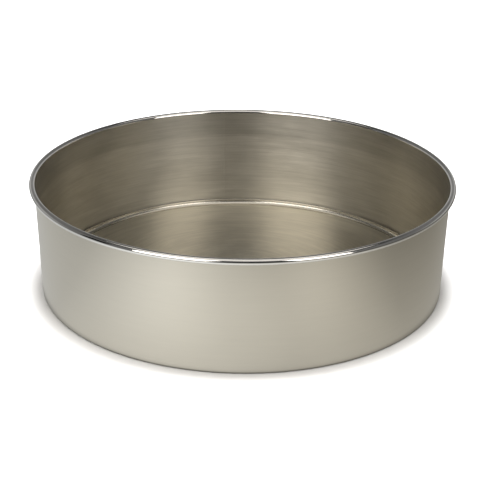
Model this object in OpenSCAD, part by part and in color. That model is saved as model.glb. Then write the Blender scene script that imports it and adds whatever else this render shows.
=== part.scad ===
// Springform cake pan: a round, nearly straight band with a wired, rolled rim and an
// inward ledge, a loose lift-out base, and an over-centre latch on the band's back.
// Millimetres. The origin is on the pan's axis, on the plane that the pan stands on.
// +Z is up, -Y is the front, and the band's seam and its latch are at the back, +Y.
// Azimuths are in degrees, counter-clockwise from +X seen from above: the back is 90.

/* [Pan] */
// Inside radius of the closed band at the rim
inner_r = 130; // [125:1:135]
// How much smaller the band's radius is at the bottom than at the rim
taper = 1.9; // [0:0.1:3]
// Overall height, from the ledge's underside to the top of the rim
pan_h = 73; // [70:1:90]
// Thickness of the band's sheet
sheet_t = 0.8; // [0.6:0.1:0.8]
// Radius of the wire in the rolled rim
wire_r = 1.2; // [0.8:0.1:1.6]
// Width of the ledge turned in at the bottom, measured from the inner wall
ledge_w = 6; // [5:0.5:10]
// Outside radius of the bend between the wall and the ledge
heel_r = 1.6; // [1.2:0.1:2.5]

/* [Base] */
// Radial gap between the base and the closed band
base_gap = 0.5; // [0.3:0.1:0.8]
// Height of the base's turned-up edge
base_edge_h = 4.2; // [4.1:0.1:6]
// Radius of the hollow between the base's floor and its edge
base_fillet_r = 2.8; // [1:0.1:2.8]

/* [Seam] */
// Azimuth of the seam between the band's two ends
seam_az = 96; // [95.5:0.5:96.5]
// Angle that the outer end laps over the inner end
lap_deg = 8.5; // [6:0.5:8.5]
// Radial gap inside the lap
lap_gap = 0.35; // [0.3:0.05:0.5]
// Gap between butted edges of the band
butt_gap = 0.04; // [0.02:0.01:0.1]

/* [Latch] */
// Height of the middle of the latch
latch_z = 36; // [32:1:40]
// Azimuth of the lever's pin
pin_az = 83.3; // [82:0.1:84]
// Distance of the lever's pin from the band's outer face
pin_out = 6.2; // [6:0.1:7]
// Radius of the lever's pin
pin_r = 1.5; // [1.2:0.1:1.8]
// Radius of the bail's wire
bail_r = 1.1; // [0.9:0.1:1.2]
// Azimuth of the lever's tip
tip_az = 62; // [58:1:66]
// Gap between the bail's leg and the keeper's lip
hook_gap = 0.45; // [0.4:0.05:0.6]

/* [Hidden] */
$fn = 96;

// Colours
STEEL = [0.72, 0.70, 0.66];
BRIGHT = [0.80, 0.79, 0.77];
LATCH = [0.66, 0.66, 0.67];

// Band
outer_r = inner_r + sheet_t;
front_az = 270;
bead_r = wire_r + sheet_t;
bead_at = [inner_r + bead_r, pan_h - bead_r];
wire_play = 0.05;
join_lap = 0.05;

// Radius of the wall's inner and outer face at a height
function wall_in(z) = inner_r - taper * (1 - z / bead_at[1]);
function wall_out(z) = wall_in(z) + sheet_t;

// Lap on the left end: a strip that steps out over the right end
lap_out = lap_gap + sheet_t;
lap_step_deg = 3;
lap_z = [3, pan_h - 8];
step_inset = 0.3;
step_inset_deg = 0.2;

// Base
base_r = wall_in(0) - base_gap;
base_z = sheet_t + 0.02;

// Keeper: a welded plate with a lip that the bail's leg hooks behind
keeper_t = 1;
keeper_h = 18;
keeper_az = [seam_az - 3.6, seam_az + 2.8];
lip_h = 14;
lip_deg = 0.5;
lip_az = seam_az - 1;
lip_out = 3.2;
keeper_out = lap_out + keeper_t;

// Bracket: a welded plate with an ear at each end
bracket_t = 1.2;
ear_x = 8;
ear_r = 3.1;
bracket_az = [75, pin_az + 1.6];
ear_foot_deg = 4;

// Lever: a channel that straddles the ears
side_gap = 0.3;
cheek_t = 1.2;
cheek_in = ear_x + side_gap;
cheek_out = cheek_in + cheek_t;
running_gap = 0.05;
latch_r = wall_out(latch_z);
pin_polar_r = latch_r + pin_out;
lever_out_r = pin_polar_r + 4.4;
web_t = 1;
web_start_az = pin_az - 2.2;
cheek_depth = [6.6, 2.2];
knuckle_r = 3.3;
curl_r = 3;
curl_deg = 75;
curl_steps = 6;
arc_steps = 20;
head_r = 2.3;
head_t = 1;

// Bail: a wire loop from the lever's cheeks to the keeper
bail_arm_z = 12;
bail_bend = 2.2;
bail_az = pin_az - 5.3;
bail_polar_r = pin_polar_r + 1;
leg_rise = 0.5;
leg_polar_r = latch_r + keeper_out + leg_rise + bail_r;
leg_az = lip_az + lip_deg / 2 + (hook_gap + bail_r) / leg_polar_r * 180 / PI;

PIN = polar(pin_polar_r, pin_az);
EYE = polar(bail_polar_r, bail_az);
LEG = polar(leg_polar_r, leg_az);

function polar(r, az) = [r * cos(az), r * sin(az)];
function mix(a, b, t) = a + (b - a) * t;

// Ring sector between two azimuths, from a profile drawn in radius and height
module sweep_az(from_az, to_az) {
    rotate([0, 0, from_az])
        rotate_extrude(angle = to_az - from_az, $fn = 360)
            children();
}

// Strip that follows the wall, from off[0] to off[1] outside its outer face
module wall_strip(off, z, from_az, to_az) {
    sweep_az(from_az, to_az)
        polygon([
            [wall_out(z[0]) + off[0], z[0]],
            [wall_out(z[0]) + off[1], z[0]],
            [wall_out(z[1]) + off[1], z[1]],
            [wall_out(z[1]) + off[0], z[1]]
        ]);
}

// Section of the band: ledge, heel, wall and the tube rolled round the wire
module band_profile() {
    heel_at = [wall_out(heel_r) - heel_r, heel_r];
    ledge_in_r = wall_in(0) - ledge_w;
    translate([ledge_in_r, 0])
        square([heel_at[0] + join_lap - ledge_in_r, sheet_t]);
    difference() {
        intersection() {
            translate(heel_at)
                circle(r = heel_r);
            translate([heel_at[0], 0])
                square([heel_r, heel_r + join_lap]);
        }
        translate(heel_at)
            circle(r = heel_r - sheet_t);
    }
    polygon([
        [wall_in(heel_r), heel_r],
        [wall_out(heel_r), heel_r],
        [wall_out(bead_at[1]), bead_at[1]],
        [wall_in(bead_at[1]), bead_at[1]]
    ]);
    difference() {
        translate(bead_at)
            circle(r = bead_r);
        translate(bead_at)
            circle(r = wire_r);
    }
}

module band_part(from_az, to_az) {
    sweep_az(from_az, to_az)
        band_profile();
}

module rim_wire(from_az, to_az) {
    sweep_az(from_az, to_az)
        translate(bead_at)
            circle(r = wire_r - wire_play, $fn = 48);
}

// Angle that a gap along the band takes up
function gap_deg(gap) = gap / outer_r * 180 / PI;

module band_left() {
    color(STEEL) {
        band_part(seam_az + gap_deg(butt_gap), front_az - gap_deg(butt_gap / 2));
        wall_strip([lap_gap, lap_out], lap_z, seam_az - lap_deg, seam_az + lap_step_deg);
        // The step out from the wall to the lap
        wall_strip([-sheet_t / 2, lap_gap + sheet_t / 2], lap_z + [step_inset, -step_inset],
                   seam_az + step_inset_deg, seam_az + lap_step_deg - step_inset_deg);
    }
}

module band_right() {
    color(STEEL)
        band_part(front_az - 360 + gap_deg(butt_gap / 2), seam_az);
}

module rim_wire_left() {
    color(BRIGHT)
        rim_wire(seam_az + gap_deg(butt_gap), front_az - gap_deg(butt_gap / 2));
}

module rim_wire_right() {
    color(BRIGHT)
        rim_wire(front_az - 360 + gap_deg(butt_gap / 2), seam_az);
}

// Lift-out base: a flat floor with a hollow fillet and a turned-up, rounded edge
module base_disc() {
    edge_in_r = base_r - sheet_t;
    fillet_at = [edge_in_r - base_fillet_r, sheet_t + base_fillet_r];
    color(STEEL)
        translate([0, 0, base_z])
            rotate_extrude($fn = 360) {
                square([edge_in_r - base_fillet_r, sheet_t]);
                difference() {
                    intersection() {
                        translate(fillet_at)
                            circle(r = base_fillet_r + sheet_t);
                        translate([fillet_at[0], 0])
                            square(base_fillet_r + sheet_t);
                    }
                    translate(fillet_at)
                        circle(r = base_fillet_r);
                }
                translate([edge_in_r, fillet_at[1]])
                    square([sheet_t, base_edge_h - fillet_at[1] - sheet_t / 2]);
                translate([edge_in_r + sheet_t / 2, base_edge_h - sheet_t / 2])
                    circle(r = sheet_t / 2, $fn = 32);
            }
}

module keeper() {
    plate_z = [latch_z - keeper_h / 2, latch_z + keeper_h / 2];
    lip_z = [latch_z - lip_h / 2, latch_z + lip_h / 2];
    color(LATCH) {
        wall_strip([lap_out, keeper_out], plate_z, keeper_az[0], keeper_az[1]);
        wall_strip([lap_out, keeper_out + lip_out], lip_z, lip_az - lip_deg / 2, lip_az + lip_deg / 2);
    }
}

// Plan of one ear: a round eye on a foot that widens towards the plate
module ear_plan() {
    difference() {
        union() {
            translate(PIN)
                circle(r = ear_r);
            polygon([
                PIN - polar(ear_r, pin_az - 90),
                PIN + polar(ear_r, pin_az - 90),
                polar(latch_r, pin_az - ear_foot_deg),
                polar(latch_r, pin_az + gap_deg(ear_r))
            ]);
        }
        circle(r = latch_r + bracket_t / 2, $fn = 360);
        translate(PIN)
            circle(r = pin_r);
    }
}

module latch_bracket() {
    color(LATCH) {
        wall_strip([0, bracket_t], [latch_z - ear_x, latch_z + ear_x], bracket_az[0], bracket_az[1]);
        for (z = [-ear_x, ear_x - bracket_t])
            translate([0, 0, latch_z + z])
                linear_extrude(bracket_t)
                    ear_plan();
    }
}

module lever_pin() {
    half = cheek_out + running_gap;
    color(BRIGHT)
        translate([PIN[0], PIN[1], latch_z]) {
            translate([0, 0, -half])
                cylinder(r = pin_r, h = 2 * half);
            for (z = [-half - head_t, half])
                translate([0, 0, z])
                    cylinder(r = head_r, h = head_t);
        }
}

// Plan of the web: an arc round the pan that ends in a curl for a finger
module web_plan() {
    curl_at = polar(lever_out_r + curl_r - web_t, tip_az);
    arc = [for (i = [0:arc_steps]) mix(web_start_az, tip_az, i / arc_steps)];
    curl = [for (i = [1:curl_steps]) tip_az + 180 + curl_deg * i / curl_steps];
    polygon(concat(
        [for (az = arc) polar(lever_out_r - web_t, az)],
        [for (az = curl) curl_at + polar(curl_r, az)],
        [for (i = [curl_steps - 1:-1:0]) curl_at + polar(curl_r - web_t, curl[i])],
        [for (i = [arc_steps:-1:0]) polar(lever_out_r, arc[i])]
    ));
}

// Plan of one cheek: two round eyes joined to a strip that tapers to the tip
module cheek_plan() {
    top_r = lever_out_r - web_t / 2;
    difference() {
        union() {
            translate(PIN)
                circle(r = knuckle_r);
            round_bar(PIN, EYE, knuckle_r);
            polygon(concat(
                [for (i = [0:arc_steps]) polar(top_r, mix(web_start_az, tip_az, i / arc_steps))],
                [for (i = [arc_steps:-1:0])
                    polar(lever_out_r - mix(cheek_depth[0], cheek_depth[1], i / arc_steps),
                          mix(web_start_az, tip_az, i / arc_steps))]
            ));
        }
        translate(PIN)
            circle(r = pin_r + running_gap);
        translate(EYE)
            circle(r = bail_r + running_gap);
    }
}

// Straight bar from the point a to the point b, with a round end at b
module round_bar(a, b, r) {
    d = b - a;
    translate(a)
        rotate(atan2(d[1], d[0]))
            translate([0, -r])
                square([norm(d), 2 * r]);
    translate(b)
        circle(r = r);
}

module latch_lever() {
    color(LATCH)
        translate([0, 0, latch_z]) {
            for (z = [-cheek_out, cheek_in])
                translate([0, 0, z])
                    linear_extrude(cheek_t)
                        cheek_plan();
            translate([0, 0, -cheek_out])
                linear_extrude(2 * cheek_out)
                    web_plan();
        }
}

// Wire quarter bend in the X-Z plane, from +X round to +Z
module wire_bend() {
    rotate([90, 0, 0])
        rotate_extrude(angle = 90)
            translate([bail_bend, 0])
                circle(r = bail_r, $fn = 32);
}

module wire(length) {
    cylinder(r = bail_r, h = length, $fn = 32);
}

// Half of the loop above its middle, with the leg at X = 0 and the eye at X = span
module bail_half(span) {
    stub_end = cheek_in - 0.4;
    leg_h = bail_arm_z - bail_bend;
    wire(leg_h);
    translate([bail_bend, 0, leg_h])
        mirror([1, 0, 0])
            wire_bend();
    translate([bail_bend, 0, bail_arm_z])
        rotate([0, 90, 0])
            wire(span - 2 * bail_bend);
    translate([span - bail_bend, 0, leg_h])
        wire_bend();
    translate([span, 0, stub_end])
        wire(leg_h - stub_end);
}

module bail() {
    d = EYE - LEG;
    color(BRIGHT)
        translate([LEG[0], LEG[1], latch_z])
            rotate([0, 0, atan2(d[1], d[0])]) {
                bail_half(norm(d));
                mirror([0, 0, 1])
                    bail_half(norm(d));
            }
}

band_left();
band_right();
rim_wire_left();
rim_wire_right();
base_disc();
keeper();
latch_bracket();
lever_pin();
latch_lever();
bail();
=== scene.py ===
"""Springform pan: the looks, the light and the camera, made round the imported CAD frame.

Lengths are in metres. The origin is on the pan's axis where it stands, +Z is up,
-Y is the front, and the band's seam and its latch are at the back, +Y.
"""
import math

import bpy
from mathutils import Matrix, Vector


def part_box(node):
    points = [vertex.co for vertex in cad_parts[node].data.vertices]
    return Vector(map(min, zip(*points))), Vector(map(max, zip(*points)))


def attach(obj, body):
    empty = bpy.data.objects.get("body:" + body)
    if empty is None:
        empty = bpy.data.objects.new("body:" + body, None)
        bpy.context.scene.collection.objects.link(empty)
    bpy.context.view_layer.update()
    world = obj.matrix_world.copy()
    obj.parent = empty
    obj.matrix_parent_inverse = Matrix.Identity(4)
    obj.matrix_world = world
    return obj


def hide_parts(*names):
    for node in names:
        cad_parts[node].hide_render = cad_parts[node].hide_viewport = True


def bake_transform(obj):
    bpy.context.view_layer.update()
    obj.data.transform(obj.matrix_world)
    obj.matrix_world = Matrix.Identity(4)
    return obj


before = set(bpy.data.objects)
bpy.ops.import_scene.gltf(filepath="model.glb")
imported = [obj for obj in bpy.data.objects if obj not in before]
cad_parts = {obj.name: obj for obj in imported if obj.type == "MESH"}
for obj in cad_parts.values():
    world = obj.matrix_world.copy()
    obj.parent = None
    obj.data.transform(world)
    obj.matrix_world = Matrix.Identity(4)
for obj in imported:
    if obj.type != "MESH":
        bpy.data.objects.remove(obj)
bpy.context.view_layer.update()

# ---------------------------------------------------------------- sizes from the frame
MM = 0.001
SHEET = 0.8 * MM            # thickness of the band's and the base's sheet
HEEL_R = 1.6 * MM           # outside radius of the bend between wall and ledge
LEDGE_W = 6 * MM            # width of the ledge, from the inner wall
BASE_GAP = 0.5 * MM         # radial gap between the base and the band
BASE_FILLET = 2.8 * MM      # hollow between the base's floor and its edge
BUTT_GAP = 0.04 * MM        # gap between the band's butted ends
SEAM_AZ = 96.0              # azimuth of the band's seam, from +X, in degrees
LAP_DEG = 8.5               # how far the outer end laps over the inner one
LAP_STEP_DEG = 3.0          # how far the lap's step reaches the other way
LAP_GAP = 0.35 * MM
LAP_Z = (3 * MM, 65 * MM)
LATCH_Z = 36 * MM           # height of the latch's middle
PLATE_T = 1.2 * MM
WELDS = ((97.5, -5.5), (97.5, 5.5), (76.9, -4.5), (76.9, 4.5))  # azimuth, mm above the latch's middle
WELD_R = 1.3 * MM
UPPER_SHADE_Z = 54 * MM           # where the painted shade on the upper inner wall begins; above it the colour is darker

wire_lo, wire_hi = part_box("rim_wire_right")
RIM_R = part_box("band_right")[1][0]
WIRE_R = (wire_hi[2] - wire_lo[2]) / 2
BEAD_AT = (wire_hi[0] - WIRE_R, (wire_hi[2] + wire_lo[2]) / 2)
BEAD_R = RIM_R - BEAD_AT[0]
base_lo, base_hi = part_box("base_disc")
BASE_R = base_hi[0]
BASE_Z = (base_lo[2], base_hi[2])
TOP_IN_R = BEAD_AT[0] - BEAD_R
FOOT_IN_R = BASE_R + BASE_GAP


def wall_in(z):
    """Radius of the wall's inner face at a height."""
    return FOOT_IN_R + (TOP_IN_R - FOOT_IN_R) * z / BEAD_AT[1]


def polar(r, azimuth, z=0.0):
    a = math.radians(azimuth)
    return (r * math.cos(a), r * math.sin(a), z)


def arc(centre, radius, start, end, steps):
    """Points (r, z) along an arc of a section, both ends included."""
    turns = [math.radians(start + (end - start) * i / steps) for i in range(steps + 1)]
    return [(centre[0] + radius * math.cos(a), centre[1] + radius * math.sin(a)) for a in turns]


def line(a, b, steps):
    """Points (r, z) from a to b, both ends left out. They crowd towards the ends, so that the smooth
    shading of a bend doesn't run out along the straight."""
    ends = [0.05 * MM, 0.2 * MM, 0.8 * MM]
    length = math.dist(a, b)
    even = [length * i / steps for i in range(1, steps)]
    middle = [d for d in even if 1.2 * MM < d < length - 1.2 * MM]
    along = ends + middle + [length - d for d in reversed(ends)]
    return [(a[0] + (b[0] - a[0]) * d / length, a[1] + (b[1] - a[1]) * d / length) for d in along]


# ---------------------------------------------------------------- meshes
def smooth(obj, sharp_deg):
    """Smooth shading with sharp edges kept where the surface turns by more than sharp_deg."""
    mesh = obj.data
    mesh.polygons.foreach_set("use_smooth", [True] * len(mesh.polygons))
    mesh.set_sharp_from_angle(angle=math.radians(sharp_deg))
    mesh.update()
    return obj


def new_object(name, verts, faces, slots, face_slots=None):
    mesh = bpy.data.meshes.new(name)
    mesh.from_pydata(verts, [], faces)
    mesh.validate()
    for material in slots:
        mesh.materials.append(material)
    if face_slots:
        mesh.polygons.foreach_set("material_index", face_slots)
    mesh.update()
    obj = bpy.data.objects.new(name, mesh)
    bpy.context.scene.collection.objects.link(obj)
    return obj


def lathe(name, section, tags, from_az, to_az, slots, step_deg=0.75):
    """Turns a closed section (r, z) about the axis. tags gives each section edge its material slot.
    A part turn gets end caps; a full turn closes on itself."""
    full = abs(to_az - from_az) > 359.99
    steps = max(2, round(abs(to_az - from_az) / step_deg))
    rings = steps if full else steps + 1
    verts, index = [], {}
    for i in range(rings):
        azimuth = from_az + (to_az - from_az) * i / steps
        for j, (r, z) in enumerate(section):
            if r == 0 and i:
                index[i, j] = index[0, j]
                continue
            index[i, j] = len(verts)
            verts.append(polar(r, azimuth, z))
    faces, face_slots = [], []
    for i in range(steps):
        after = (i + 1) % rings
        for j in range(len(section)):
            k = (j + 1) % len(section)
            corners = (index[i, j], index[after, j], index[after, k], index[i, k])
            face = tuple(dict.fromkeys(corners))
            if len(face) > 2:
                faces.append(face)
                face_slots.append(tags[j])
    if not full:
        faces.append(tuple(index[0, j] for j in reversed(range(len(section)))))
        faces.append(tuple(index[rings - 1, j] for j in range(len(section))))
        face_slots += [0, 0]
    return new_object(name, verts, faces, slots, face_slots)


OUTSIDE, INSIDE, BEAD = 0, 1, 2


def band_section():
    """Closed section of the band, from the ledge's inner edge round the outside, over the rim and
    down the inside. Returns the points and the material slot of the edge after each point."""
    wall_out = lambda z: wall_in(z) + SHEET
    heel = (wall_out(HEEL_R) - HEEL_R, HEEL_R)
    ledge_in = wall_in(0) - LEDGE_W
    edge = 0.25 * MM
    meet = math.degrees(math.acos((wall_out(BEAD_AT[1]) - BEAD_AT[0]) / BEAD_R))
    meet_z = BEAD_AT[1] - BEAD_R * math.sin(math.radians(meet))
    parts = [
        (OUTSIDE, arc((ledge_in + edge, edge), edge, -180, -90, 4)),
        (OUTSIDE, arc(heel, HEEL_R, -90, 0, 10)),
        (OUTSIDE, line((wall_out(HEEL_R), HEEL_R), (wall_out(meet_z), meet_z), 10)),
        (BEAD, arc(BEAD_AT, BEAD_R, -meet, 180, 44)),
        (INSIDE, line((wall_in(BEAD_AT[1]), BEAD_AT[1]), (wall_in(HEEL_R), HEEL_R), 10)),
        (INSIDE, arc(heel, HEEL_R - SHEET, 0, -90, 6)),
        (INSIDE, arc((ledge_in + edge, SHEET - edge), edge, 90, 180, 4)),
    ]
    points = [p for _, run in parts for p in run]
    tags = [slot for slot, run in parts for _ in run]
    return points, tags


def base_section():
    """Closed section of the base from its centre, under it, up its edge and back over the floor.
    Returns the points and the material slot of the edge after each point."""
    z0, top = BASE_Z
    edge_in = BASE_R - SHEET
    hollow = (edge_in - BASE_FILLET, z0 + SHEET + BASE_FILLET)
    lip = (BASE_R - SHEET / 2, top - SHEET / 2)
    under = [(0, z0)] + line((0, z0), (hollow[0], z0), 8)
    over = line((hollow[0], z0 + SHEET), (0, z0 + SHEET), 24) + [(0, z0 + SHEET)]
    parts = [
        (0, under),
        (0, arc(hollow, BASE_FILLET + SHEET, -90, 0, 12)),
        (1, arc(lip, SHEET / 2, 0, 180, 10)),
        (1, arc(hollow, BASE_FILLET, 0, -90, 16)),
        (0, over),
    ]
    return [p for _, run in parts for p in run], [slot for slot, run in parts for _ in run]


def softened(node, material, width=0.25 * MM, angle=30):
    """A copy of a CAD node's mesh with its edges rounded, as pressed and tumbled metal has them."""
    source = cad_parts[node]
    mesh = source.data.copy()
    mesh.name = node + "_finished"
    mesh.transform(source.matrix_world)
    mesh.materials.clear()
    mesh.materials.append(material)
    obj = bpy.data.objects.new(node + "_finished", mesh)
    bpy.context.scene.collection.objects.link(obj)
    weld = obj.modifiers.new("weld", "WELD")
    weld.merge_threshold = 0.004 * MM
    flat = obj.modifiers.new("flat", "DECIMATE")
    flat.decimate_type = "DISSOLVE"
    flat.angle_limit = math.radians(0.8)
    bevel = obj.modifiers.new("bevel", "BEVEL")
    bevel.width = width
    bevel.segments = 3
    bevel.limit_method = "ANGLE"
    bevel.angle_limit = math.radians(angle)
    bevel.harden_normals = False
    bpy.context.view_layer.update()
    done = bpy.data.meshes.new_from_object(obj.evaluated_get(bpy.context.evaluated_depsgraph_get()))
    obj.modifiers.clear()
    obj.data = done
    done.materials.clear()
    done.materials.append(material)
    smooth(obj, 28)
    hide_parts(node)
    return obj


# ---------------------------------------------------------------- materials
def material(name):
    mat = bpy.data.materials.new(name)
    mat.use_nodes = True
    tree = mat.node_tree
    bsdf = next(n for n in tree.nodes if n.type == "BSDF_PRINCIPLED")
    bsdf.inputs["Metallic"].default_value = 1.0
    return mat, tree, bsdf


def math_node(tree, operation, a, b=None):
    node = tree.nodes.new("ShaderNodeMath")
    node.operation = operation
    for socket, value in zip(node.inputs, (a, b)):
        if value is None:
            continue
        if isinstance(value, (int, float)):
            socket.default_value = value
        else:
            tree.links.new(value, socket)
    return node.outputs[0]


def combine(tree, x, y, z):
    node = tree.nodes.new("ShaderNodeCombineXYZ")
    for socket, value in zip(node.inputs, (x, y, z)):
        tree.links.new(value, socket)
    return node.outputs[0]


def streaks(tree, along, across, floor=False, detail=3.0):
    """Noise drawn out round the axis: along and across are its cycles a metre. On the wall it
    changes with height, and on the floor with the distance from the axis."""
    place = tree.nodes.new("ShaderNodeTexCoord").outputs["Object"]
    split = tree.nodes.new("ShaderNodeSeparateXYZ")
    tree.links.new(place, split.inputs[0])
    x, y, z = split.outputs
    if floor:
        flat = math_node(tree, "SQRT", math_node(tree, "ADD", math_node(tree, "MULTIPLY", x, x),
                                                 math_node(tree, "MULTIPLY", y, y)))
        safe = math_node(tree, "MAXIMUM", flat, 0.004)
        reach = 0.1
        x = math_node(tree, "MULTIPLY", math_node(tree, "DIVIDE", x, safe), reach)
        y = math_node(tree, "MULTIPLY", math_node(tree, "DIVIDE", y, safe), reach)
        z = flat
    vector = combine(tree, math_node(tree, "MULTIPLY", x, along), math_node(tree, "MULTIPLY", y, along),
                     math_node(tree, "MULTIPLY", z, across))
    noise = tree.nodes.new("ShaderNodeTexNoise")
    noise.inputs["Scale"].default_value = 1.0
    noise.inputs["Detail"].default_value = detail
    noise.inputs["Roughness"].default_value = 0.6
    tree.links.new(vector, noise.inputs["Vector"])
    return noise.outputs["Fac"]


def distance_to(tree, place, point):
    node = tree.nodes.new("ShaderNodeVectorMath")
    node.operation = "DISTANCE"
    node.inputs[1].default_value = point
    tree.links.new(place, node.inputs[0])
    return node.outputs["Value"]


def ramp(tree, fac, low, high, from_min=0.3, from_max=0.7):
    """Value from low to high as fac goes from from_min to from_max."""
    node = tree.nodes.new("ShaderNodeMapRange")
    node.inputs["From Min"].default_value = from_min
    node.inputs["From Max"].default_value = from_max
    node.inputs["To Min"].default_value = low
    node.inputs["To Max"].default_value = high
    tree.links.new(fac, node.inputs["Value"])
    return node.outputs["Result"]


def tint(tree, fac, dark, light):
    node = tree.nodes.new("ShaderNodeMix")
    node.data_type = "RGBA"
    node.inputs[6].default_value = (*dark, 1)
    node.inputs[7].default_value = (*light, 1)
    tree.links.new(fac, node.inputs[0])
    return node.outputs[2]


def bump(tree, bsdf, height, strength, distance):
    node = tree.nodes.new("ShaderNodeBump")
    node.inputs["Strength"].default_value = strength
    node.inputs["Distance"].default_value = distance
    tree.links.new(height, node.inputs["Height"])
    tree.links.new(node.outputs[0], bsdf.inputs["Normal"])


def brushed(name, dark, light, rough, anisotropy, floor=False, relief=0.1, upper_shade=False):
    """Steel brushed round the pan's axis. rough is the pair of roughness limits. The last flag paints shade
    on the upper wall: above a set height the colour is made darker."""
    mat, tree, bsdf = material(name)
    fine = streaks(tree, 26.0, 1500.0, floor, 4.0)
    middle = streaks(tree, 34.0, 330.0, floor, 3.0)
    broad = streaks(tree, 26.0, 55.0, floor, 2.0)
    both = math_node(tree, "ADD", math_node(tree, "MULTIPLY", fine, 0.35),
                     math_node(tree, "MULTIPLY", broad, 0.3))
    both = math_node(tree, "ADD", both, math_node(tree, "MULTIPLY", middle, 0.35))
    colour = tint(tree, ramp(tree, both, 0, 1), dark, light)
    # Painted shade: above a set height the upper inner wall's colour is scaled down to 0.84.
    if upper_shade:
        place = tree.nodes.new("ShaderNodeTexCoord").outputs["Object"]
        split = tree.nodes.new("ShaderNodeSeparateXYZ")
        tree.links.new(place, split.inputs[0])
        shade_belt = ramp(tree, split.outputs[2], 1.0, 0.84, UPPER_SHADE_Z - 1 * MM, UPPER_SHADE_Z + 1.5 * MM)
        shade = tree.nodes.new("ShaderNodeVectorMath")
        shade.operation = "SCALE"
        tree.links.new(colour, shade.inputs[0])
        tree.links.new(shade_belt, shade.inputs["Scale"])
        colour = shade.outputs["Vector"]
    tree.links.new(colour, bsdf.inputs["Base Color"])
    tree.links.new(ramp(tree, both, *rough), bsdf.inputs["Roughness"])
    bsdf.inputs["Anisotropic"].default_value = anisotropy
    bsdf.inputs["Anisotropic Rotation"].default_value = 0.25
    tangent = tree.nodes.new("ShaderNodeTangent")
    tangent.direction_type = "RADIAL"
    tangent.axis = "Z"
    tree.links.new(tangent.outputs[0], bsdf.inputs["Tangent"])
    if relief:
        bump(tree, bsdf, fine, relief, 0.05 * MM)
    return mat


def weld_marks(tree, bsdf, points, radius):
    """Shallow round marks of spot welds: dents with a darker, duller rim."""
    place = tree.nodes.new("ShaderNodeTexCoord").outputs["Object"]
    nearest = None
    for point in points:
        d = distance_to(tree, place, point)
        nearest = d if nearest is None else math_node(tree, "MINIMUM", nearest, d)
    dent = ramp(tree, nearest, 0, 1, radius * 0.6, radius)
    rim = math_node(tree, "SUBTRACT", dent, ramp(tree, nearest, 0, 1, radius, radius * 1.5))
    colour = bsdf.inputs["Base Color"].links[0].from_socket
    shade = tree.nodes.new("ShaderNodeVectorMath")
    shade.operation = "SCALE"
    tree.links.new(colour, shade.inputs[0])
    tree.links.new(ramp(tree, rim, 1, 0.72, 0, 1), shade.inputs["Scale"])
    tree.links.new(shade.outputs["Vector"], bsdf.inputs["Base Color"])
    bump(tree, bsdf, dent, 0.8, 0.25 * MM)


def polished(name, colour, rough, scale=240.0, relief=0.02):
    """Bright steel with a slight unevenness, so that its highlights aren't perfect."""
    mat, tree, bsdf = material(name)
    noise = tree.nodes.new("ShaderNodeTexNoise")
    noise.inputs["Scale"].default_value = scale
    noise.inputs["Detail"].default_value = 3.0
    place = tree.nodes.new("ShaderNodeTexCoord").outputs["Object"]
    tree.links.new(place, noise.inputs["Vector"])
    fac = noise.outputs["Fac"]
    darker = tuple(c * 0.93 for c in colour)
    tree.links.new(tint(tree, ramp(tree, fac, 0, 1), darker, colour), bsdf.inputs["Base Color"])
    tree.links.new(ramp(tree, fac, *rough), bsdf.inputs["Roughness"])
    if relief:
        bump(tree, bsdf, fac, relief, 0.1 * MM)
    return mat


steel_outside = brushed("steel_outside", (0.632, 0.593, 0.512), (0.668, 0.627, 0.542), (0.28, 0.32), 0.4,
                        relief=0.02)
# The inside steel has painted shade on its upper wall.
steel_inside = brushed("steel_inside", (0.43, 0.409, 0.361), (0.65, 0.62, 0.549), (0.34, 0.44), 0.6,
                       relief=0.14, upper_shade=True)
steel_floor = brushed("steel_floor", (0.50, 0.468, 0.395), (0.77, 0.725, 0.61), (0.33, 0.42), 0.6,
                      floor=True, relief=0.14)
steel_bend = brushed("steel_bend", (0.58, 0.545, 0.47), (0.66, 0.62, 0.53), (0.21, 0.27), 0.3,
                     floor=True, relief=0.03)
steel_rim = polished("steel_rim", (0.82, 0.80, 0.76), (0.04, 0.08))
LATCH_DARK, LATCH_LIGHT = (0.60, 0.575, 0.515), (0.70, 0.67, 0.61)
steel_latch = brushed("steel_latch", LATCH_DARK, LATCH_LIGHT, (0.20, 0.28), 0.3, relief=0.04)
steel_plate = brushed("steel_plate", LATCH_DARK, LATCH_LIGHT, (0.22, 0.30), 0.3, relief=0)
plate_tree = steel_plate.node_tree
plate_bsdf = next(n for n in plate_tree.nodes if n.type == "BSDF_PRINCIPLED")
plate_out = wall_in(LATCH_Z) + SHEET + PLATE_T
weld_points = [polar(plate_out, azimuth, LATCH_Z + dz * MM) for azimuth, dz in WELDS]
weld_marks(plate_tree, plate_bsdf, weld_points, WELD_R)
steel_bright = polished("steel_bright", (0.76, 0.745, 0.70), (0.12, 0.18), relief=0.01)
steel_wire = polished("steel_wire", (0.55, 0.54, 0.51), (0.30, 0.40))

# ---------------------------------------------------------------- the band
section, tags = band_section()
band_slots = [steel_outside, steel_inside, steel_rim]
gap_deg = math.degrees(BUTT_GAP / TOP_IN_R)

band_front = lathe("band_front", section, tags, 180, 360, band_slots)
band_back_left = lathe("band_back_left", section, tags, SEAM_AZ + gap_deg, 180, band_slots)
band_back_right = lathe("band_back_right", section, tags, 0, SEAM_AZ, band_slots)


def lap_section(azimuth):
    """Offsets of the lap's inner and outer face outside the wall: flush with it, then stepped out."""
    t = (SEAM_AZ + LAP_STEP_DEG - azimuth) / (LAP_STEP_DEG - 0.4)
    t = max(0.0, min(1.0, t))
    rise = t * t * (3 - 2 * t)
    return -SHEET + rise * (SHEET + LAP_GAP), -0.02 * MM + rise * (LAP_GAP + SHEET + 0.02 * MM)


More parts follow.
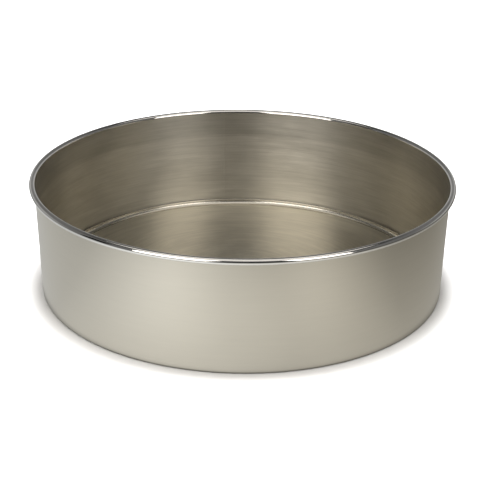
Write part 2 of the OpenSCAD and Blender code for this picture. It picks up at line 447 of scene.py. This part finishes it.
def make_lap():
    """The outer end of the band: a strip that steps out over the inner end, edges rounded."""
    steps, round_steps = 56, 4
    from_az, to_az = SEAM_AZ + LAP_STEP_DEG, SEAM_AZ - LAP_DEG
    verts, faces = [], []
    r_edge = SHEET * 0.45
    low = [(LAP_Z[0] + r_edge * (1 - math.sin(math.radians(90 * i / round_steps))),
            math.cos(math.radians(90 * i / round_steps))) for i in range(round_steps, -1, -1)]
    high = [(LAP_Z[1] - (z - LAP_Z[0]), reach) for z, reach in reversed(low)]
    column = low + high
    ring = len(column) * 2
    for i in range(steps + 1):
        azimuth = from_az + (to_az - from_az) * i / steps
        near, far = lap_section(azimuth)
        for z, reach in column:
            middle, half = (near + far) / 2, (far - near) / 2
            bevel = min(half, r_edge)
            r = wall_in(z) + SHEET + middle + (half - bevel) + bevel * (1 - reach)
            verts.append(polar(r, azimuth, z))
        for z, reach in reversed(column):
            middle, half = (near + far) / 2, (far - near) / 2
            bevel = min(half, r_edge)
            r = wall_in(z) + SHEET + middle - (half - bevel) - bevel * (1 - reach)
            verts.append(polar(r, azimuth, z))
    for i in range(steps):
        for j in range(ring):
            k = (j + 1) % ring
            a, b = i * ring, (i + 1) * ring
            faces.append((a + j, a + k, b + k, b + j))
    faces.append(tuple(range(ring)))
    faces.append(tuple(steps * ring + j for j in range(ring - 1, -1, -1)))
    return new_object("band_lap", verts, faces, [steel_outside])


band_lap = make_lap()
for piece in (band_front, band_back_left, band_back_right, band_lap):
    smooth(piece, 32)
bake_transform(band_front)
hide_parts("band_left", "band_right")
for piece in (band_back_left, band_lap):
    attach(piece, "band")
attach(band_back_right, "free_side")

# ---------------------------------------------------------------- the base
floor_section, floor_tags = base_section()
base = lathe("base_plate", floor_section, floor_tags, 0, 360, [steel_floor, steel_bend])
smooth(base, 32)
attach(base, "base")
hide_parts("base_disc")

# ---------------------------------------------------------------- the latch
for node, body, finish, slot_name in (
    ("keeper", "band", steel_plate, "latch_steel"),
    ("latch_bracket", "free_side", steel_plate, "latch_steel"),
    ("lever_pin", "free_side", steel_bright, "pin_steel"),
    ("latch_lever", "lever", steel_latch, "latch_steel"),
    ("bail", "bail", steel_bright, "bail_wire"),
):
    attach(softened(node, finish), body)
for node in ("rim_wire_left", "rim_wire_right"):
    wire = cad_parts[node]
    wire.data.materials.clear()
    wire.data.materials.append(steel_wire)

# ---------------------------------------------------------------- stage, light and camera
FLOOR_LEFT, FLOOR_RIGHT = 0.64, 0.24    # painted brightness of the floor as the metal sees it, left and right
FLOOR_SPAN = (0.0, 0.30)    # from x to x, where it fades
PAINTED_POOLS = (                   # painted pools of light on the floor as the metal sees it: centre, radius and how much brighter
    ((-0.11, -0.22), 0.17, 0.60),
    ((0.12, -0.22), 0.14, 0.44),
)
ROOM_SOFT = 0.08            # the room's even light on the floor
ROOM_SEEN, ROOM_DARK = 0.15, 0.05      # how bright the metal sees the room, and its front, by the camera
ROOM_HIGH = 0.25            # how much of that is left high up
BACK_SEEN = 0.32            # and the pale backdrop, low down behind the pan
WARM = (1.0, 0.975, 0.94)
scene = bpy.context.scene
floor_mesh = bpy.data.meshes.new("stage_floor")
FLOOR = 6.0
floor_mesh.from_pydata([(-FLOOR, -FLOOR, 0), (FLOOR, -FLOOR, 0), (FLOOR, FLOOR, 0), (-FLOOR, FLOOR, 0)],
                       [], [(0, 1, 2, 3)])
stage_floor = bpy.data.objects.new("stage_floor", floor_mesh)
scene.collection.objects.link(stage_floor)
# The floor as the metal sees it is painted light: for glossy rays it is an emission, not the lit paper. It
# has a painted fade from left to right, painted pools of light in front of the pan, a painted fade with
# distance, painted shade at the pan's foot and a warmer tint to the right. Other rays see the white diffuse
# paper, with a glow added that grows away from the pan.
paper = bpy.data.materials.new("paper")
paper.use_nodes = True
paper_tree = paper.node_tree
paper_tree.nodes.clear()
paper_out = paper_tree.nodes.new("ShaderNodeOutputMaterial")
paper_mix = paper_tree.nodes.new("ShaderNodeMixShader")
paper_white = paper_tree.nodes.new("ShaderNodeBsdfDiffuse")
paper_white.inputs["Color"].default_value = (0.9, 0.9, 0.9, 1)
paper_seen = paper_tree.nodes.new("ShaderNodeEmission")
paper_path = paper_tree.nodes.new("ShaderNodeLightPath")
paper_place = paper_tree.nodes.new("ShaderNodeTexCoord").outputs["Object"]
paper_split = paper_tree.nodes.new("ShaderNodeSeparateXYZ")
paper_tree.links.new(paper_place, paper_split.inputs[0])
# Painted light seen only in reflections: the floor brighter on the left, plus painted pools of light.
paper_fade = ramp(paper_tree, paper_split.outputs[0], FLOOR_LEFT, FLOOR_RIGHT, *FLOOR_SPAN)
for pool_at, pool_r, pool_more in PAINTED_POOLS:
    pool_d = distance_to(paper_tree, paper_place, (*pool_at, 0))
    paper_fade = math_node(paper_tree, "ADD", paper_fade, ramp(paper_tree, pool_d, pool_more, 0, 0, pool_r))
paper_radius = distance_to(paper_tree, paper_place, (0, 0, 0))
# Painted fade with distance, seen only in reflections.
paper_far = ramp(paper_tree, paper_radius, 1, 0.22, 0.24, 0.60)
# Painted shade: the floor the metal sees is darker at the pan's foot.
paper_foot_shade = ramp(paper_tree, paper_radius, 0.2, 1, 0.1285, 0.133)
paper_round = math_node(paper_tree, "MULTIPLY", paper_foot_shade, paper_far)
paper_level = math_node(paper_tree, "MULTIPLY", paper_fade, paper_round)
# Painted reflection tint: the floor the metal sees is warmer to the right.
paper_warm = ramp(paper_tree, paper_split.outputs[0], 0, 1, -0.15, 0.30)
paper_colour = tint(paper_tree, paper_warm, (0.99, 1.01, 1.01), (1.0, 0.965, 0.87))
paper_tree.links.new(paper_colour, paper_seen.inputs["Color"])
paper_tree.links.new(paper_level, paper_seen.inputs["Strength"])
paper_lift = paper_tree.nodes.new("ShaderNodeEmission")
paper_away = ramp(paper_tree, paper_radius, 0, 1, 0.25, 1.0)
paper_tree.links.new(paper_away, paper_lift.inputs["Strength"])
paper_plain = paper_tree.nodes.new("ShaderNodeAddShader")
paper_tree.links.new(paper_white.outputs[0], paper_plain.inputs[0])
paper_tree.links.new(paper_lift.outputs[0], paper_plain.inputs[1])
paper_tree.links.new(paper_path.outputs["Is Glossy Ray"], paper_mix.inputs[0])
paper_tree.links.new(paper_plain.outputs[0], paper_mix.inputs[1])
paper_tree.links.new(paper_seen.outputs[0], paper_mix.inputs[2])
paper_tree.links.new(paper_mix.outputs[0], paper_out.inputs["Surface"])
floor_mesh.materials.append(paper)

world = bpy.data.worlds.new("studio")
world.use_nodes = True
world_tree = world.node_tree
background = world_tree.nodes["Background"]
background.inputs["Color"].default_value = (1, 1, 1, 1)
world_path = world_tree.nodes.new("ShaderNodeLightPath")
world_place = world_tree.nodes.new("ShaderNodeTexCoord").outputs["Generated"]
world_split = world_tree.nodes.new("ShaderNodeSeparateXYZ")
world_tree.links.new(world_place, world_split.inputs[0])
back_low = ramp(world_tree, world_split.outputs[2], 1, 0, 0.15, 0.40)
back_far = ramp(world_tree, world_split.outputs[1], 0, BACK_SEEN, 0.1, 0.5)
room_side = ramp(world_tree, world_split.outputs[1], ROOM_DARK, ROOM_SEEN, -0.78, -0.5)
room_low = ramp(world_tree, world_split.outputs[2], 1, ROOM_HIGH, 0.62, 0.8)
room_seen = math_node(world_tree, "MULTIPLY", room_side, room_low)
back_seen = math_node(world_tree, "ADD", math_node(world_tree, "MULTIPLY", back_low, back_far), room_seen)
world_open = ramp(world_tree, world_path.outputs["Is Camera Ray"], ROOM_SOFT, 1, 0, 1)
world_mix = world_tree.nodes.new("ShaderNodeMix")
world_tree.links.new(world_open, world_mix.inputs[2])
world_tree.links.new(world_path.outputs["Is Glossy Ray"], world_mix.inputs[0])
world_tree.links.new(back_seen, world_mix.inputs[3])
world_tree.links.new(world_mix.outputs[0], background.inputs["Strength"])
scene.world = world


def softbox(name, place, target, size, power, mirrored=True):
    data = bpy.data.lights.new(name, "AREA")
    data.shape = "RECTANGLE"
    data.size, data.size_y = size
    data.energy = power
    data.color = WARM if mirrored else (1, 1, 1)
    obj = bpy.data.objects.new(name, data)
    scene.collection.objects.link(obj)
    obj.location = place
    obj.rotation_euler = (Vector(target) - Vector(place)).to_track_quat("-Z", "Y").to_euler()
    obj.visible_glossy = mirrored
    return obj


softbox("key_left", (-0.92, -1.31, 0.78), (0, 0, 0.05), (1.22, 1.3), 14.1)
softbox("fill_right", (1.03, -1.22, 0.74), (0, 0, 0.05), (0.92, 1.15), 8.3)
softbox("ceiling", (0, -0.40, 1.3), (0, -0.40, 0), (1.7, 1.7), 7.7)
softbox("overhead", (0, 0.03, 1.5), (0, 0, 0), (0.45, 0.45), 46, mirrored=False)

# A dark card at the far left, which draws the dark line under the rim.
card_mesh = bpy.data.meshes.new("stage_card")
card_corners = [(-1.48, -0.14, 0.08), (-1.40, -0.56, 0.08), (-1.40, -0.56, 0.95), (-1.48, -0.14, 0.95)]
card_mesh.from_pydata(card_corners, [], [(0, 1, 2, 3)])
card = bpy.data.objects.new("stage_card", card_mesh)
scene.collection.objects.link(card)
black, _, black_bsdf = material("black_card")
black_bsdf.inputs["Metallic"].default_value = 0.0
black_bsdf.inputs["Base Color"].default_value = (0.005, 0.005, 0.005, 1)
black_bsdf.inputs["Specular IOR Level"].default_value = 0.0
card_mesh.materials.append(black)
card.visible_camera = False
card.visible_shadow = False

CAMERA_AT = (0.0004, -0.7507, 0.3528)
CAMERA_DOWN = 23.594        # degrees below the horizon
CAMERA_ROLL = 0.692
camera_data = bpy.data.cameras.new("camera")
camera_data.lens = 93.69
camera_data.sensor_width = 36.0
camera_data.clip_start, camera_data.clip_end = 0.05, 50
camera = bpy.data.objects.new("camera", camera_data)
scene.collection.objects.link(camera)
camera.matrix_world = (
    Matrix.Translation(CAMERA_AT)
    @ Matrix.Rotation(math.radians(90 - CAMERA_DOWN), 4, "X")
    @ Matrix.Rotation(math.radians(CAMERA_ROLL), 4, "Z")
)
scene.camera = camera
scene.view_settings.view_transform = "Standard"
